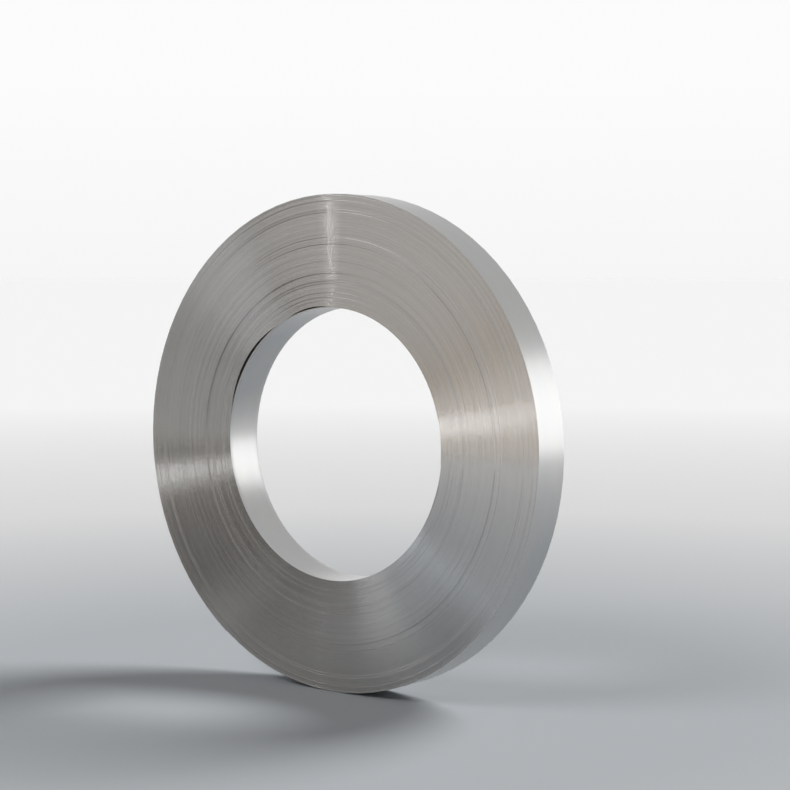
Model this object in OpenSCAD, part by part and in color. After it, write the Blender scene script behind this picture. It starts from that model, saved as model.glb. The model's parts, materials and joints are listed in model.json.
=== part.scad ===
// Slit coil of stainless steel strip: one long strip wound on itself, standing on its rim.
// Every turn has the strip's full width. A turn that strayed along the axis while it was wound
// stands proud on one end and lies as deep on the other, so the turns show as rings on both ends.
// Places round the coil are clock angles: degrees clockwise from the top, seen from the front end.

/* [Strip] */
// Thickness of one turn, with its share of the air between turns
strip_t = 1.5; // [0.8:0.1:3]
// Width that the strip was slit to
strip_w = 78; // [40:1:160]

/* [Coil] */
// Diameter of the bore that the winding mandrel left
bore_d = 508; // [400:1:620]
// Number of turns
turns = 140; // [100:1:220]

/* [Turns on the ends] */
// Largest distance that a single turn strays along the axis
stray = 0.5; // [0.1:0.05:0.5]
// Share of the turns that stray
stray_share = 0.3; // [0.05:0.01:0.4]
// First turn of the band of turns that slipped forward together
slip_first = 42; // [10:1:50]
// Number of turns in that band
slip_turns = 36; // [12:1:38]
// How far the band stands proud on the front end
slip_h = 2; // [1:0.1:3]
// Number of turns round the outside of the band that slipped half as far
half_slip_turns = 8; // [2:1:9]

/* [Loose innermost turn] */
// Widest gap between the innermost turn and the next
loose_gap = 6; // [2:0.5:10]
// Arc of that gap, in degrees
loose_arc = 46; // [30:1:60]
// Clock angle of the middle of the gap
loose_at = 305; // [280:1:310]
// Share of the gap's width and arc that a second gap beside it has
loose_second = 0.5; // [0.3:0.05:0.7]

/* [Strip ends] */
// Clock angle of the strip's outer end, on the rim
outer_end_at = 215; // [185:1:260]
// Clock angle of the strip's inner end, in the bore
inner_end_at = 95; // [40:1:160]

/* [Hidden] */
$fn = 180;

bore_r = bore_d / 2;
coil_r = bore_r + turns * strip_t;
rim_spare = 4 * strip_t;
flush_turns = 2;
slip_end = slip_first + slip_turns;
half_slip_end = slip_end + half_slip_turns;

// A fixed share from 0 to 1 that scatters from one number to the next
scatter_angle = 137.5;
scatter_spread = 43.7;
function scatter(n) =
    let (spread = scatter_spread * sin(n * scatter_angle))
    spread - floor(spread);

// How far turn n slipped forward with its neighbours
function slipped(n) =
    n < slip_first || n >= half_slip_end ? 0
        : n < slip_end ? slip_h
        : slip_h / 2;

// How far turn n strayed by itself; the innermost and outermost turns stay flush
function strayed(n) =
    n < flush_turns || n >= turns - flush_turns || scatter(n) > stray_share
        ? 0
        : stray * scatter(n + turns);

// A turn strays forward from the flush turns, and back from the slipped ones
function forward(n) = slipped(n) == 0 ? strayed(n) : slipped(n) - strayed(n);

function turn_r(n) = bore_r + n * strip_t;

// The proudest turn sets the coil's whole width, which is centred on the frame
proud = max([for (n = [0 : turns - 1]) forward(n)]);
coil_w = strip_w + proud;
flush_front = coil_w / 2 - proud;
cut_l = 2 * coil_w;

// Half of the coil's section: the front edge from the bore to the rim, and the back edge
// one strip width behind it
step_turns = [for (n = [1 : turns - 1]) if (forward(n) != forward(n - 1)) n];
front_edge = concat(
    [[bore_r, flush_front]],
    [
        for (n = step_turns, side = [n - 1, n])
            [turn_r(n), flush_front + forward(side)]
    ],
    [[coil_r + rim_spare, flush_front]]
);
back_edge = [for (k = [len(front_edge) - 1 : -1 : 0]) front_edge[k] - [0, strip_w]];

// Turns its children so that their +X points to a clock angle
module at_clock(angle) {
    rotate(90 - angle) children();
}

// The last turn is a spiral of two half circles, whose centres lie a quarter of a turn's
// thickness to each side of the axis. It gains one thickness on its way round to the outer end.
new_half = [strip_t / 4, coil_r - strip_t / 4];
old_half = [-strip_t / 4, coil_r - strip_t * 3 / 4];

module rim_half(centre_and_r, side) {
    half_box = 2 * coil_r;
    intersection() {
        translate([centre_and_r[0], 0, 0])
            cylinder(r = centre_and_r[1], h = cut_l, center = true);
        translate([0, side * half_box / 2, 0])
            cube([2 * half_box, half_box, 2 * cut_l], center = true);
    }
}

module rim() {
    at_clock(outer_end_at) {
        rim_half(new_half, -1);
        rim_half(old_half, 1);
    }
}

// Distance from the axis to a plane that touches the rim, at an angle past the outer end
function rim_reach(angle) =
    let (half = angle < 180 ? old_half : new_half)
    half[1] + half[0] * cos(angle);

axis_h = rim_reach((outer_end_at + 180) % 360);

// Where the first turn climbs over the strip's inner end it leaves the mandrel, a little
// more steeply than the tangent, and a thin wedge in front of the end stays open.
wedge_steepness = 1.25;
module inner_end_wedge() {
    top = bore_r + strip_t;
    climb = wedge_steepness * acos(bore_r / top);
    depth = 4 * strip_t;
    at_clock(inner_end_at)
        linear_extrude(cut_l, center = true)
            polygon([[top, 0], [top - depth, 0], [top - depth, -depth / tan(climb)]]);
}

// Crescent behind the loose innermost turn: the next turn's inside has a smaller
// circle there, which meets the loose turn's outside at both ends of the arc.
module loose_crescent(at, arc, gap) {
    turn_outside = bore_r + strip_t;
    shift = gap * (2 * turn_outside + gap) / (2 * (turn_outside + gap - turn_outside * cos(arc / 2)));
    at_clock(at)
        difference() {
            translate([shift, 0, 0])
                cylinder(r = turn_outside + gap - shift, h = cut_l, center = true);
            cylinder(r = turn_outside, h = 2 * cut_l, center = true);
        }
}

// From the end of the first gap to the middle of the second, as a share of the second's arc
second_apart = 0.85;
module loose_gaps() {
    second_arc = loose_arc * loose_second;
    second_at = loose_at + loose_arc / 2 + second_apart * second_arc;
    loose_crescent(loose_at, loose_arc, loose_gap);
    loose_crescent(second_at, second_arc, loose_gap * loose_second);
}

module wound_turns() {
    intersection() {
        rotate_extrude() polygon(concat(front_edge, back_edge));
        rim();
    }
}

// The coil's axis runs along Y, with the front end at -Y
module strip_coil() {
    color([0.72, 0.72, 0.70])
        translate([0, 0, axis_h])
            rotate([90, 0, 0])
                difference() {
                    wound_turns();
                    inner_end_wedge();
                    loose_gaps();
                }
}

strip_coil();
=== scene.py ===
"""Slit coil of stainless steel strip, standing on its rim in a pale studio.

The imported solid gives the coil's outline. Here the whole strip is wound turn by turn, as one
closed mesh, so that each turn's slit edge catches the light on the two ends.
Places round the coil are clock angles: degrees clockwise from the top, seen from the front end,
which is at -Y.
"""

import json
import math
from collections import namedtuple

import bmesh
import bpy
import numpy as np
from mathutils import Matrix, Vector


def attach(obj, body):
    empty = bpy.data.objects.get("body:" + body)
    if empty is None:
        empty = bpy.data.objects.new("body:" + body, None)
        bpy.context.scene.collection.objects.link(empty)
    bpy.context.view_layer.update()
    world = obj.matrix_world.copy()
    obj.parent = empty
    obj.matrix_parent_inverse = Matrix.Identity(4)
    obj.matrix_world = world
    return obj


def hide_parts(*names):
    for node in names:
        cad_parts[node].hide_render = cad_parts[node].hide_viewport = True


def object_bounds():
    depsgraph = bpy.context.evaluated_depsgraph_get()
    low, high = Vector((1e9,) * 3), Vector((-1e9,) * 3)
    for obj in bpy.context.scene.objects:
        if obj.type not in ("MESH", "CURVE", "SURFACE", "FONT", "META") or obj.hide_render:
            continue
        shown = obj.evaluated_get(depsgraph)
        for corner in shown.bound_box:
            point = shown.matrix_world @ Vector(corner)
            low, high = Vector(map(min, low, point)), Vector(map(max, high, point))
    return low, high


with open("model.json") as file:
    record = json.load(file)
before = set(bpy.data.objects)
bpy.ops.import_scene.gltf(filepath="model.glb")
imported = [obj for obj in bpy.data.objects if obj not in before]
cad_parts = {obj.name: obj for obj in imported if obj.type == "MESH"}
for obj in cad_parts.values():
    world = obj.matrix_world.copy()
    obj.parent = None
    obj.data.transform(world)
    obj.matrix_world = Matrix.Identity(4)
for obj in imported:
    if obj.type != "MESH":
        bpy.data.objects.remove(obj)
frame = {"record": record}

MM = 0.001
CAD_LOW, CAD_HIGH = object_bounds()

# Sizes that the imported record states
BORE = next(mount for mount in frame["record"]["mounts"] if mount["kind"] == "bore")
BORE_R = BORE["dims"]["r_mm"] * MM
STRIP_W = BORE["dims"]["length_mm"] * MM
AXIS_H = BORE["pos_m"][2]
FLUSH_BACK = CAD_HIGH.y
FLUSH_FRONT = FLUSH_BACK - STRIP_W

# The winding, as in the solid; the strip's ends lie apart, so its number of turns isn't whole
STRIP_T = 1.5 * MM
RING_COUNT = 140
RIM_R = BORE_R + RING_COUNT * STRIP_T
INNER_END_CLOCK = 95
OUTER_END_CLOCK = 215
WOUND_TURNS = RING_COUNT - 2 + ((INNER_END_CLOCK - OUTER_END_CLOCK) % 360) / 360
PITCH = (RIM_R - BORE_R) / (WOUND_TURNS + 1)
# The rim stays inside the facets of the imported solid
RIM_CLEARANCE = 0.1 * MM

# Steps along each turn, and rows of faces across the strip's flat sides
TURN_STEPS = 84
STRIP_STEPS = round(WOUND_TURNS * TURN_STEPS)
WALL_ROWS = 8

# Share of a turn in which the first turn climbs over the strip's inner end, and the number of
# turns over which the climb spreads to a whole turn
FIRST_CLIMB = 0.02
CLIMB_TURNS = 40

# Turns that strayed along the axis, as in the solid
STRAY = 0.5 * MM
STRAY_SHARE = 0.3
FLUSH_TURNS = 2
SLIP_FIRST = 42
SLIP_TURNS = 36
HALF_SLIP_TURNS = 8
SLIP_END = SLIP_FIRST + SLIP_TURNS
HALF_SLIP_END = SLIP_END + HALF_SLIP_TURNS
SLIP_H = 2 * MM
SCATTER_ANGLE = 137.5
SCATTER_SPREAD = 43.7
# Share of a turn in which the strip moves over to the next turn's place along the axis
STEP_SHARE = 0.035

# Gaps behind the loose innermost turn, as in the solid: clock angle, arc in degrees, width
LOOSE_AT = 305
LOOSE_ARC = 46
LOOSE_GAP = 6 * MM
LOOSE_SECOND = 0.5
SECOND_APART = 0.85
SECOND_ARC = LOOSE_ARC * LOOSE_SECOND
SECOND_AT = LOOSE_AT + LOOSE_ARC / 2 + SECOND_APART * SECOND_ARC
LOOSE_GAPS = ((LOOSE_AT, LOOSE_ARC, LOOSE_GAP), (SECOND_AT, SECOND_ARC, LOOSE_GAP * LOOSE_SECOND))
# Number of turns that the gaps push outwards, the power by which that fades, and the air left
# all round the loose turn
PRESSED_TURNS = 24
PRESSED_FADE = 1.5
LOOSE_CLEARANCE = 0.05 * MM

# A turn's slit edge, from its inside to its outside: a groove, a sharp corner, a shoulder, a crest
# in the middle and a fall to the burr. Where the next turn out lies deeper, the fall is a bevel:
# it goes deeper too, and it begins further in by a share of that.
CORNER_W = 0.1 * MM
CORNER_DEPTH = 0.3 * MM
SHOULDER_FALL = 0.04 * MM
EDGE_FALL = 0.26 * MM
DEEPEST_BEVEL = 1.0 * MM
BEVEL_SPREAD = 0.3
# Faces that meet at more degrees than this have a sharp edge between them
SHARP_ANGLE = 40


def smooth_step(share):
    share = np.clip(share, 0, 1)
    return share * share * (3 - 2 * share)


def scatter(turn):
    """A fixed share from 0 to 1 that scatters from one turn to the next."""
    spread = SCATTER_SPREAD * np.sin(np.radians(turn * SCATTER_ANGLE))
    return spread - np.floor(spread)


def turn_forward(turn):
    """How far each whole turn stands forward: slipped with its neighbours, or strayed by itself."""
    slipped = np.where(turn < SLIP_END, SLIP_H, SLIP_H / 2)
    slipped = np.where((turn < SLIP_FIRST) | (turn >= HALF_SLIP_END), 0, slipped)
    at_an_end = (turn < FLUSH_TURNS) | (turn >= RING_COUNT - FLUSH_TURNS)
    stays = at_an_end | (scatter(turn) > STRAY_SHARE)
    strayed = np.where(stays, 0, STRAY * scatter(turn + RING_COUNT))
    return np.where(slipped == 0, strayed, slipped - strayed)


def forward(wound):
    """How far the strip stands forward after so many turns."""
    wound = np.clip(wound, 0, RING_COUNT)
    turn = np.floor(wound)
    before = turn_forward(np.maximum(turn - 1, 0))
    return before + (turn_forward(turn) - before) * smooth_step((wound - turn) / STEP_SHARE)


def clock_at(wound):
    return INNER_END_CLOCK - 360 * wound


def loose_gap(clock):
    """Width of the gap behind the innermost turn: the next turn lies on a smaller circle there."""
    turn_outside = BORE_R + STRIP_T
    width = np.zeros_like(clock)
    for at, arc, gap in LOOSE_GAPS:
        away = np.radians((clock - at + 180) % 360 - 180)
        half_arc = math.radians(arc / 2)
        middle_r = turn_outside + gap
        shift = gap * (turn_outside + middle_r) / (2 * (middle_r - turn_outside * math.cos(half_arc)))
        circle_r = middle_r - shift
        reach_square = np.maximum(circle_r**2 - (shift * np.sin(away)) ** 2, 0)
        reach = shift * np.cos(away) + np.sqrt(reach_square)
        width = np.where(np.abs(away) < half_arc, np.maximum(width, reach - turn_outside), width)
    return width


def inside_r(wound):
    """Radius of the strip's inside after so many turns.

    The first turns climb only where they cross the inner end, and later ones all the way round.
    """
    turn = np.floor(wound)
    climb = np.minimum(1, FIRST_CLIMB + wound / CLIMB_TURNS)
    layers = turn + np.clip((wound - turn - 1 + climb) / climb, 0, 1)
    pressed = np.clip(1 - (wound - 1) / PRESSED_TURNS, 0, 1) ** PRESSED_FADE
    pushed_out = pressed * (loose_gap(clock_at(wound)) + LOOSE_CLEARANCE)
    return BORE_R + PITCH * layers + np.where(wound < 1, 0, pushed_out)


def rim_r(share):
    """Radius of the rim after a share of the last turn.

    It is a spiral of two half circles, whose centres lie a quarter of the strip's thickness to
    each side of the axis.
    """
    quarter = STRIP_T / 4
    off_axis = quarter * np.cos(np.radians(360 * share))
    first_half = RIM_R - 3 * quarter - off_axis
    second_half = RIM_R - quarter + off_axis
    return np.where(share < 0.5, first_half, second_half) - RIM_CLEARANCE


def points(radius, wound, y):
    """Points at a radius after so many turns, at a place along the axis."""
    clock = np.radians(clock_at(wound))
    x = radius * np.sin(clock)
    z = AXIS_H + radius * np.cos(clock)
    return np.stack([x, np.broadcast_to(y, radius.shape), z], -1)


class Skin:
    """Collects the points and the faces of one mesh."""

    def __init__(self):
        self.points = []
        self.faces = []
        self.materials = []
        self.count = 0

    def add(self, new_points):
        """Adds points and returns their numbers."""
        self.points.append(new_points)
        self.count += len(new_points)
        return np.arange(self.count - len(new_points), self.count)

    def face(self, corners, material):
        self.faces.append(corners)
        self.materials.append(material)

    def band(self, one_side, other_side, material):
        quads = np.stack([one_side[:-1], one_side[1:], other_side[1:], other_side[:-1]], -1)
        self.faces.extend(quads.tolist())
        self.materials.extend([material] * len(quads))

    def wall(self, rows, material):
        for one_row, next_row in zip(rows[:-1], rows[1:]):
            self.band(one_row, next_row, material)


# Places of the two steels in the coil's list of materials
EDGE, FACE = 0, 1

# One end of the coil: numbers of the points along the strip's inside and its outside, and the
# place of the groove along the axis
End = namedtuple("End", "inner outer groove")


class WoundStrip:
    """The strip's path in steps from its inner end to its outer end, and the mesh that follows it."""

    def __init__(self):
        self.skin = Skin()
        self.step = np.arange(STRIP_STEPS + 1)
        self.wound = self.step / TURN_STEPS
        self.inside = inside_r(self.wound)
        last_turn = STRIP_STEPS - TURN_STEPS
        self.loose = self.step[:TURN_STEPS]
        self.rim = self.step[last_turn + 1:]
        self.loose_r = self.inside[self.loose] + PITCH
        self.rim_r = rim_r((self.rim - last_turn) / TURN_STEPS)
        # A turn's outside is the next turn's inside, apart from the loose first turn and the last
        self.outside = np.concatenate([self.loose_r, self.inside[2 * TURN_STEPS:], self.rim_r])
        self.front = self.add_end(FLUSH_FRONT, outward=-1)
        self.back = self.add_end(FLUSH_BACK, outward=1)
        self.add_walls()

    def add_end(self, flush, outward):
        """The slit edges on one end, and the tips of the strip's two ends there."""
        skin = self.skin
        wound = self.wound
        top = flush - forward(wound)
        above_inner = np.maximum(0, outward * (top - (flush - forward(wound - 1))))
        above_outer = np.maximum(0, outward * (top - (flush - forward(wound + 1))))
        groove = top - outward * (CORNER_DEPTH + above_inner)
        bevel = np.minimum(above_outer, DEEPEST_BEVEL)
        crest_r = (self.inside + self.outside) / 2 - BEVEL_SPREAD * bevel

        inner = skin.add(points(self.inside, wound, groove))
        shoulder = skin.add(points(self.inside + CORNER_W, wound, top - outward * SHOULDER_FALL))
        crest = skin.add(points(crest_r, wound, top))
        burr = skin.add(points(self.outside, wound, top - outward * (EDGE_FALL + bevel)))
        loose_outer = skin.add(points(self.loose_r, wound[self.loose], groove[self.loose]))
        rim_outer = skin.add(points(self.rim_r, wound[self.rim], groove[self.rim]))
        outer = np.concatenate([loose_outer, inner[2 * TURN_STEPS:], rim_outer])

        rows = [inner, shoulder, crest, burr, outer]
        skin.wall(rows, EDGE)
        for tip in (0, -1):
            skin.face([row[tip] for row in rows], FACE)
        return End(inner, outer, groove)

    def rows_between(self, front_row, back_row, chosen, radius):
        """Rows of points from the front end to the back end, at chosen steps."""
        rows = [front_row[chosen]]
        for row in range(1, WALL_ROWS):
            share = row / WALL_ROWS
            y = self.front.groove[chosen] * (1 - share) + self.back.groove[chosen] * share
            rows.append(self.skin.add(points(radius, self.wound[chosen], y)))
        return rows + [back_row[chosen]]

    def inner_rows(self, chosen):
        return self.rows_between(self.front.inner, self.back.inner, chosen, self.inside[chosen])

    def outer_rows(self, chosen, radius):
        return self.rows_between(self.front.outer, self.back.outer, chosen, radius)

    def add_walls(self):
        """The strip's flat sides where they are open to view, and its two cut ends."""
        bore_rows = self.inner_rows(self.step[:2 * TURN_STEPS + 1])
        self.skin.wall(bore_rows, FACE)

        loose_rows = self.outer_rows(self.loose, self.loose_r)
        loose_rows = [np.append(row, bore[-1]) for row, bore in zip(loose_rows, bore_rows)]
        self.skin.wall(loose_rows, FACE)

        under_rows = self.inner_rows(self.step[-1:])
        rim_rows = self.outer_rows(self.rim, self.rim_r)
        rim_rows = [np.append(under, row) for under, row in zip(under_rows, rim_rows)]
        self.skin.wall(rim_rows, FACE)

        inner_end = [np.array([bore[0], row[0]]) for bore, row in zip(bore_rows, loose_rows)]
        self.skin.wall(inner_end, FACE)
        outer_end = [np.array([row[0], row[-1]]) for row in rim_rows]
        self.skin.wall(outer_end, FACE)


def make_object(name, skin, materials):
    mesh = bpy.data.meshes.new(name)
    mesh.from_pydata(np.concatenate(skin.points), [], skin.faces)
    mesh.polygons.foreach_set("material_index", skin.materials)
    shape = bmesh.new()
    shape.from_mesh(mesh)
    bmesh.ops.recalc_face_normals(shape, faces=shape.faces)
    shape.to_mesh(mesh)
    shape.free()
    mesh.shade_smooth()
    mesh.set_sharp_from_angle(angle=math.radians(SHARP_ANGLE))
    for material in materials:
        mesh.materials.append(material)
    made = bpy.data.objects.new(name, mesh)
    bpy.context.collection.objects.link(made)
    return made


def grey(level):
    return (level, level, level)


class Nodes:
    """A short way to write a node tree."""

    def __init__(self, tree):
        self.tree = tree

    def fill(self, node, inputs):
        """Sets a node's inputs to numbers or colours, or links them to other nodes' outputs."""
        for name, value in inputs.items():
            if isinstance(value, bpy.types.NodeSocket):
                self.tree.links.new(value, node.inputs[name])
            else:
                node.inputs[name].default_value = value

    def add(self, kind, inputs=None, **settings):
        node = self.tree.nodes.new(kind)
        for name, value in settings.items():
            setattr(node, name, value)
        self.fill(node, inputs or {})
        return node

    def math(self, operation, *values):
        return self.add("ShaderNodeMath", dict(enumerate(values)), operation=operation).outputs[0]

    def between(self, share, low, high):
        return self.math("MULTIPLY_ADD", share, high - low, low)

    def vector(self, x, y, z):
        return self.add("ShaderNodeCombineXYZ", {"X": x, "Y": y, "Z": z}).outputs[0]

    def noise(self, at, detail):
        inputs = {"Vector": at, "Scale": 1, "Detail": detail}
        return self.add("ShaderNodeTexNoise", inputs).outputs["Fac"]

    def ramp(self, share, *stops):
        """Colours or greys at places from 0 to 1, with even changes between them."""
        ramp = self.add("ShaderNodeValToRGB", {"Fac": share})
        while len(ramp.color_ramp.elements) < len(stops):
            ramp.color_ramp.elements.new(1)
        for element, (at, colour) in zip(ramp.color_ramp.elements, stops):
            element.position = at
            element.color = (*(colour if isinstance(colour, tuple) else grey(colour)), 1)
        return ramp.outputs["Color"]

    def mix(self, share, first, second, blend="MIX"):
        """Mixes two colours. Their sockets share names with others, so they go by number."""
        inputs = {"Factor": share, 6: first, 7: second}
        return self.add("ShaderNodeMix", inputs, data_type="RGBA", blend_type=blend).outputs[2]


def new_material(name):
    material = bpy.data.materials.new(name)
    material.use_nodes = True
    nodes = Nodes(material.node_tree)
    shader = material.node_tree.nodes["Principled BSDF"]
    return material, nodes, shader


# Distance from the coil's axis, the direction from it, and the place along it
CoilPlace = namedtuple("CoilPlace", "radius across upward along")


def coil_place(nodes):
    place = nodes.add("ShaderNodeTexCoord").outputs["Object"]
    part = nodes.add("ShaderNodeSeparateXYZ", {0: place}).outputs
    up = nodes.math("SUBTRACT", part["Z"], AXIS_H)
    across_square = nodes.math("MULTIPLY", part["X"], part["X"])
    up_square = nodes.math("MULTIPLY", up, up)
    radius = nodes.math("SQRT", nodes.math("ADD", across_square, up_square))
    across = nodes.math("DIVIDE", part["X"], radius)
    upward = nodes.math("DIVIDE", up, radius)
    return CoilPlace(radius, across, upward, part["Y"])


# Share of a turn that sets the stretched gloss across the grain
ACROSS_GRAIN = 0.25


def steel_inputs(nodes, colour, roughness, anisotropy):
    """Inputs of both steels: bare metal, with its grain round the coil's axis."""
    tangent = nodes.add("ShaderNodeTangent", direction_type="RADIAL", axis="Y").outputs[0]
    return {
        "Base Color": colour,
        "Metallic": 1,
        "Roughness": roughness,
        "Anisotropic": anisotropy,
        "Anisotropic Rotation": ACROSS_GRAIN,
        "Tangent": tangent,
    }


# Slit edges: fine rings and groups of rings for each metre of radius, and how far they wander
# round the coil
FINE_RINGS = 700
RING_GROUPS = 160
RING_WANDER = 0.1
FINE_SHADES = ((0.3, 0.88), (0.7, 1.0))
GROUP_COLOURS = ((0.35, (0.58, 0.575, 0.565)), (0.65, (0.605, 0.60, 0.595)))
EDGE_ROUGHNESS = (0.16, 0.24)
EDGE_ANISOTROPY = 1


def slit_edge_steel():
    """Slit edges of the turns: fine rings, with a little warm and cool colour from group to group."""
    material, nodes, shader = new_material("slit_edge_steel")
    coil = coil_place(nodes)
    around = nodes.math("MULTIPLY", coil.across, RING_WANDER)
    upright = nodes.math("MULTIPLY", coil.upward, RING_WANDER)

    def rings(for_each_metre, detail):
        outward = nodes.math("MULTIPLY", coil.radius, for_each_metre)
        return nodes.noise(nodes.vector(outward, around, upright), detail)

    fine = rings(FINE_RINGS, detail=0)
    group = rings(RING_GROUPS, detail=1)
    tint = nodes.ramp(group, *GROUP_COLOURS)
    shade = nodes.ramp(fine, *FINE_SHADES)
    colour = nodes.mix(1, tint, shade, blend="MULTIPLY")
    roughness = nodes.between(group, *EDGE_ROUGHNESS)
    nodes.fill(shader, steel_inputs(nodes, colour, roughness, EDGE_ANISOTROPY))
    return material


# Rolled faces: lines for each metre across the strip, and clouds across it and round the coil
ROLL_LINES = 900
CLOUDS_ALONG = 20
CLOUDS_ROUND = 3
CLOUD_COLOURS = ((0.3, (0.60, 0.605, 0.61)), (0.7, (0.64, 0.635, 0.62)))
FACE_DETAIL = 3
LINE_STRENGTH = 0.08
LINE_DEPTH = 0.2 * MM
FACE_ROUGHNESS = (0.24, 0.36)
FACE_ANISOTROPY = 0.5


def rolled_face_steel():
    """The strip's rolled faces, in the bore and on the rim, with faint lines along the strip."""
    material, nodes, shader = new_material("rolled_face_steel")
    coil = coil_place(nodes)
    line_place = nodes.vector(nodes.math("MULTIPLY", coil.along, ROLL_LINES), coil.across, coil.upward)
    line = nodes.noise(line_place, FACE_DETAIL)
    cloud_place = nodes.vector(
        nodes.math("MULTIPLY", coil.along, CLOUDS_ALONG),
        nodes.math("MULTIPLY", coil.across, CLOUDS_ROUND),
        nodes.math("MULTIPLY", coil.upward, CLOUDS_ROUND),
    )
    cloud = nodes.noise(cloud_place, FACE_DETAIL)
    colour = nodes.ramp(cloud, *CLOUD_COLOURS)
    roughness = nodes.between(line, *FACE_ROUGHNESS)
    nodes.fill(shader, steel_inputs(nodes, colour, roughness, FACE_ANISOTROPY))
    bump_inputs = {"Strength": LINE_STRENGTH, "Distance": LINE_DEPTH, "Height": line}
    bump = nodes.add("ShaderNodeBump", bump_inputs).outputs[0]
    nodes.fill(shader, {"Normal": bump})
    return material


# Floor: its colours by distance from the coil in metres, its gloss and its size. The grey round the
# coil is painted shade, so that the metal mirrors darker ground near it.
FLOOR_COLOURS = ((0.8, (0.43, 0.45, 0.47)), (2.8, 0.70), (8.0, 0.93))
FLOOR_ROUGHNESS = 0.9
FLOOR_GLOSS = 0.1
FLOOR_R = 600
FLOOR_SIDES = 64


def make_floor():
    """A wide pale floor, nearly white far away and grey round the coil, where the grey is painted shade
    for the metal to mirror.
    """
    material, nodes, shader = new_material("pale_floor")
    place = nodes.add("ShaderNodeTexCoord").outputs["Object"]
    away = nodes.add("ShaderNodeVectorMath", {0: place}, operation="LENGTH").outputs["Value"]
    far = FLOOR_COLOURS[-1][0]
    stops = [(at / far, colour) for at, colour in FLOOR_COLOURS]
    nodes.fill(shader, {
        "Base Color": nodes.ramp(nodes.math("DIVIDE", away, far), *stops),
        "Roughness": FLOOR_ROUGHNESS,
        "Specular IOR Level": FLOOR_GLOSS,
    })
    bpy.ops.mesh.primitive_circle_add(vertices=FLOOR_SIDES, radius=FLOOR_R, fill_type="NGON")
    floor = bpy.context.object
    floor.name = "floor"
    floor.data.materials.append(material)


# Sky: its greys by height, from 0 at the horizon to 1 overhead, and the even light that it gives
SKY_GREYS = ((0.0, 0.92), (0.1, 0.97), (0.2, 0.97), (0.5, 0.55), (0.64, 0.55), (0.76, 0.62))
FILL_LEVEL = 0.18


def make_world():
    """White round the horizon and a mid grey overhead, with a plain even light on what isn't glossy."""
    world = bpy.data.worlds.new("studio")
    bpy.context.scene.world = world
    world.use_nodes = True
    nodes = Nodes(world.node_tree)
    direction = nodes.add("ShaderNodeTexCoord").outputs["Generated"]
    height = nodes.add("ShaderNodeSeparateXYZ", {0: direction}).outputs["Z"]
    sky = nodes.ramp(height, *SKY_GREYS)
    ray = nodes.add("ShaderNodeLightPath").outputs
    seen = nodes.math("MAXIMUM", ray["Is Camera Ray"], ray["Is Glossy Ray"])
    seen = nodes.math("MAXIMUM", seen, ray["Is Transmission Ray"])
    colour = nodes.mix(seen, (*grey(FILL_LEVEL), 1), sky)
    nodes.fill(world.node_tree.nodes["Background"], {"Color": colour})


def put(made, at, aim):
    """Puts an object at a place, with its -Z towards another."""
    made.location = at
    made.rotation_euler = (made.location - Vector(aim)).to_track_quat("Z", "Y").to_euler()
    bpy.context.collection.objects.link(made)


# Width of a sun in degrees, which softens the edge of its shadow
SUN_WIDTH = 30


def make_sun(name, energy, at):
    """Soft light on the floor, whose shadow falls on the coil's other side."""
    light = bpy.data.lights.new(name, "SUN")
    light.energy = energy
    light.angle = math.radians(SUN_WIDTH)
    sun = bpy.data.objects.new(name, light)
    sun.visible_glossy = False
    put(sun, at, aim=(0, 0, 0))


def make_softbox(name, at, width, height, level):
    """A panel of a given brightness that faces the coil and shows in its reflections."""
    light = bpy.data.lights.new(name, "AREA")
    light.shape = "RECTANGLE"
    light.size = width
    light.size_y = height
    light.energy = level * math.pi * width * height
    softbox = bpy.data.objects.new(name, light)
    softbox.visible_camera = False
    softbox.visible_diffuse = False
    put(softbox, at, aim=(0, 0, AXIS_H))


def make_card(name, colour, corners):
    """A plain card of a given brightness, which shows in the coil's reflections only."""
    material, nodes, shader = new_material(name)
    nodes.fill(shader, {
        "Base Color": (*grey(0), 1),
        "Roughness": 1,
        "Specular IOR Level": 0,
        "Emission Color": (*colour, 1),
        "Emission Strength": 1,
    })
    mesh = bpy.data.meshes.new(name)
    mesh.from_pydata(corners, [], [range(len(corners))])
    mesh.materials.append(material)
    card = bpy.data.objects.new(name, mesh)
    card.visible_camera = False
    card.visible_diffuse = False
    card.visible_shadow = False
    bpy.context.collection.objects.link(card)


# Heights of the cards on the floor and of the standing boards, and the place where the boards meet
CARD_H = 2 * MM
BOARD_H = 2.0
BOARD_CORNER = (-4.5, -4.5)


def on_floor(*corners):
    return [(x, y, CARD_H) for x, y in corners]


def standing(start, end):
    return [(*start, 0), (*end, 0), (*end, BOARD_H), (*start, BOARD_H)]


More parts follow.
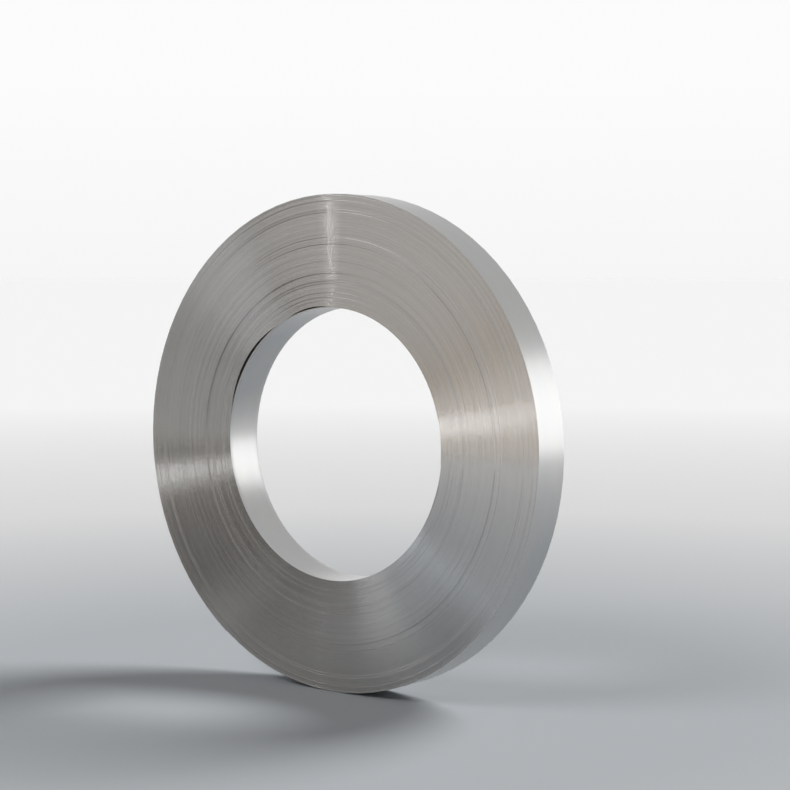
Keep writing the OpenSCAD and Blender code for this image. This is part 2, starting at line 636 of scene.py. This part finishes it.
def make_panels():
    """Panels outside the view, each for one of the lights that the metal mirrors."""
    # The streaks on the front end, clockwise from the top
    make_softbox("top_panel", at=(-2.75, -2.5, 3.0), width=0.08, height=0.2, level=30)
    make_softbox("front_panel", at=(-0.3, -1.0, 0.44), width=0.16, height=0.05, level=6)
    make_softbox("low_panel", at=(-0.45, -0.74, 0.04), width=0.08, height=0.05, level=3.5)
    make_softbox("left_panel", at=(-2.1, -0.98, 0.12), width=0.9, height=0.09, level=1.8)
    # The softer lights there, round the right streak and at the upper left
    make_softbox("front_glow", at=(-0.3, -2.6, 0.52), width=0.8, height=0.6, level=0.55)
    make_softbox("left_glow", at=(-4.4, -2.85, 1.25), width=0.8, height=0.8, level=0.4)
    # The bright outer steps of the slipped turns, and the bright right side of the rim
    make_softbox("overhead_panel", at=(-0.6, -0.15, 3.5), width=1.0, height=2.8, level=1.5)
    make_softbox("horizon_panel", at=(1.9, 2.3, 0.95), width=1.6, height=1.4, level=0.85)


def make_cards():
    """Cards on the floor for the front end's dark lower left and its light lower right, and boards
    for what stands round the rest, all outside the view.
    """
    left_corners = on_floor(
        (-0.328, -0.566), (-0.886, -0.093), (-4.5, -0.7), (-4.5, -6.0), (-3.7, -5.0)
    )
    make_card("left_card", grey(0.06), left_corners)
    front_corners = on_floor((-0.36, -0.70), (-0.95, -1.48), (-0.75, -1.65), (-0.16, -0.87))
    make_card("front_card", (1.3, 1.4, 1.5), front_corners)
    make_card("front_board", (0.61, 0.55, 0.48), standing(BOARD_CORNER, (3.0, BOARD_CORNER[1])))
    make_card("left_board", (0.48, 0.48, 0.475), standing(BOARD_CORNER, (BOARD_CORNER[0], 2.0)))


def make_studio():
    make_floor()
    make_world()
    make_sun("back_sun", energy=2.75, at=(1.7, 4.0, 4.5))
    make_sun("front_sun", energy=0.8, at=(-1.5, -4.0, 4.0))
    make_panels()
    make_cards()


# The photo's viewpoint, from the outlines of the front face, the bore and the rim
CAMERA_AT = (2.2903, -2.7784, 0.7737)
CAMERA_TILT = 86.49
CAMERA_TURN = 37.98
CAMERA_LENS = 88.05
SENSOR_W = 36


def make_camera():
    data = bpy.data.cameras.new("camera")
    data.lens = CAMERA_LENS
    data.sensor_width = SENSOR_W
    camera = bpy.data.objects.new("camera", data)
    camera.location = CAMERA_AT
    camera.rotation_euler = (math.radians(CAMERA_TILT), 0, math.radians(CAMERA_TURN))
    bpy.context.collection.objects.link(camera)
    bpy.context.scene.camera = camera


coil = make_object("wound_strip", WoundStrip().skin, [slit_edge_steel(), rolled_face_steel()])
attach(coil, "root")
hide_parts("strip_coil")

make_studio()
make_camera()
bpy.context.scene.view_settings.view_transform = "Standard"
